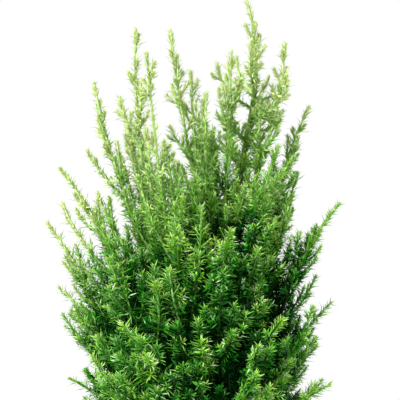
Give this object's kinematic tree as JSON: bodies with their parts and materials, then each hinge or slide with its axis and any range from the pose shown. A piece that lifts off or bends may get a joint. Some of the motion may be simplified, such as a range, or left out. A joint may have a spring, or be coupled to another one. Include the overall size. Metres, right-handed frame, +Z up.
{
  "type": "cypress tree",
  "caption": "Young upright cypress: a short leaning trunk, steeply rising boughs and a dense crown of feathery needle plumes with separate pointed leaders.",
  "frame": {"origin": "middle of the trunk's flat cut at ground level", "axes": "+Z up along the height of the tree, +X to the right and -Y towards the front"},
  "size_m": [0.2218, 0.2046, 0.3892],
  "materials": {
    "bark": "rough fibrous brown bark",
    "bough_bark": "thin scaly red-brown bark, green at the young ends",
    "foliage": "satin green needles",
    "young_foliage": "satin yellow-green young needles"
  },
  "bodies": {
    "root": {"trunk": "bark", "crown_top_mass": "young_foliage", "leader_bough_1": "bough_bark", "leader_bough_2": "bough_bark", "leader_bough_3": "bough_bark", "leader_bough_4": "bough_bark", "leader_bough_5": "bough_bark", "leader_bough_6": "bough_bark", "leader_bough_7": "bough_bark", "leader_mass_1": "young_foliage", "leader_mass_2": "young_foliage", "leader_mass_3": "young_foliage", "leader_mass_4": "young_foliage", "leader_mass_5": "young_foliage", "leader_mass_6": "young_foliage", "leader_mass_7": "young_foliage", "upper_bough_1": "bough_bark", "upper_bough_2": "bough_bark", "upper_bough_3": "bough_bark", "upper_bough_4": "bough_bark", "upper_bough_5": "bough_bark", "upper_bough_6": "bough_bark", "upper_mass_1": "young_foliage", "upper_mass_2": "young_foliage", "upper_mass_3": "young_foliage", "upper_mass_4": "young_foliage", "upper_mass_5": "young_foliage", "upper_mass_6": "young_foliage", "middle_bough_1": "bough_bark", "middle_bough_2": "bough_bark", "middle_bough_3": "bough_bark", "middle_bough_4": "bough_bark", "middle_bough_5": "bough_bark", "middle_bough_6": "bough_bark", "middle_mass_1": "foliage", "middle_mass_2": "foliage", "middle_mass_3": "foliage", "middle_mass_4": "foliage", "middle_mass_5": "foliage", "middle_mass_6": "foliage", "lower_bough_1": "bough_bark", "lower_bough_2": "bough_bark", "lower_bough_3": "bough_bark", "lower_bough_4": "bough_bark", "lower_bough_5": "bough_bark", "lower_mass_1": "foliage", "lower_mass_2": "foliage", "lower_mass_3": "foliage", "lower_mass_4": "foliage", "lower_mass_5": "foliage", "skirt_bough_1": "bough_bark", "skirt_bough_2": "bough_bark", "skirt_bough_3": "bough_bark", "skirt_bough_4": "bough_bark", "skirt_bough_5": "bough_bark", "skirt_mass_1": "foliage", "skirt_mass_2": "foliage", "skirt_mass_3": "foliage", "skirt_mass_4": "foliage", "skirt_mass_5": "foliage"}
  },
  "joints": []
}
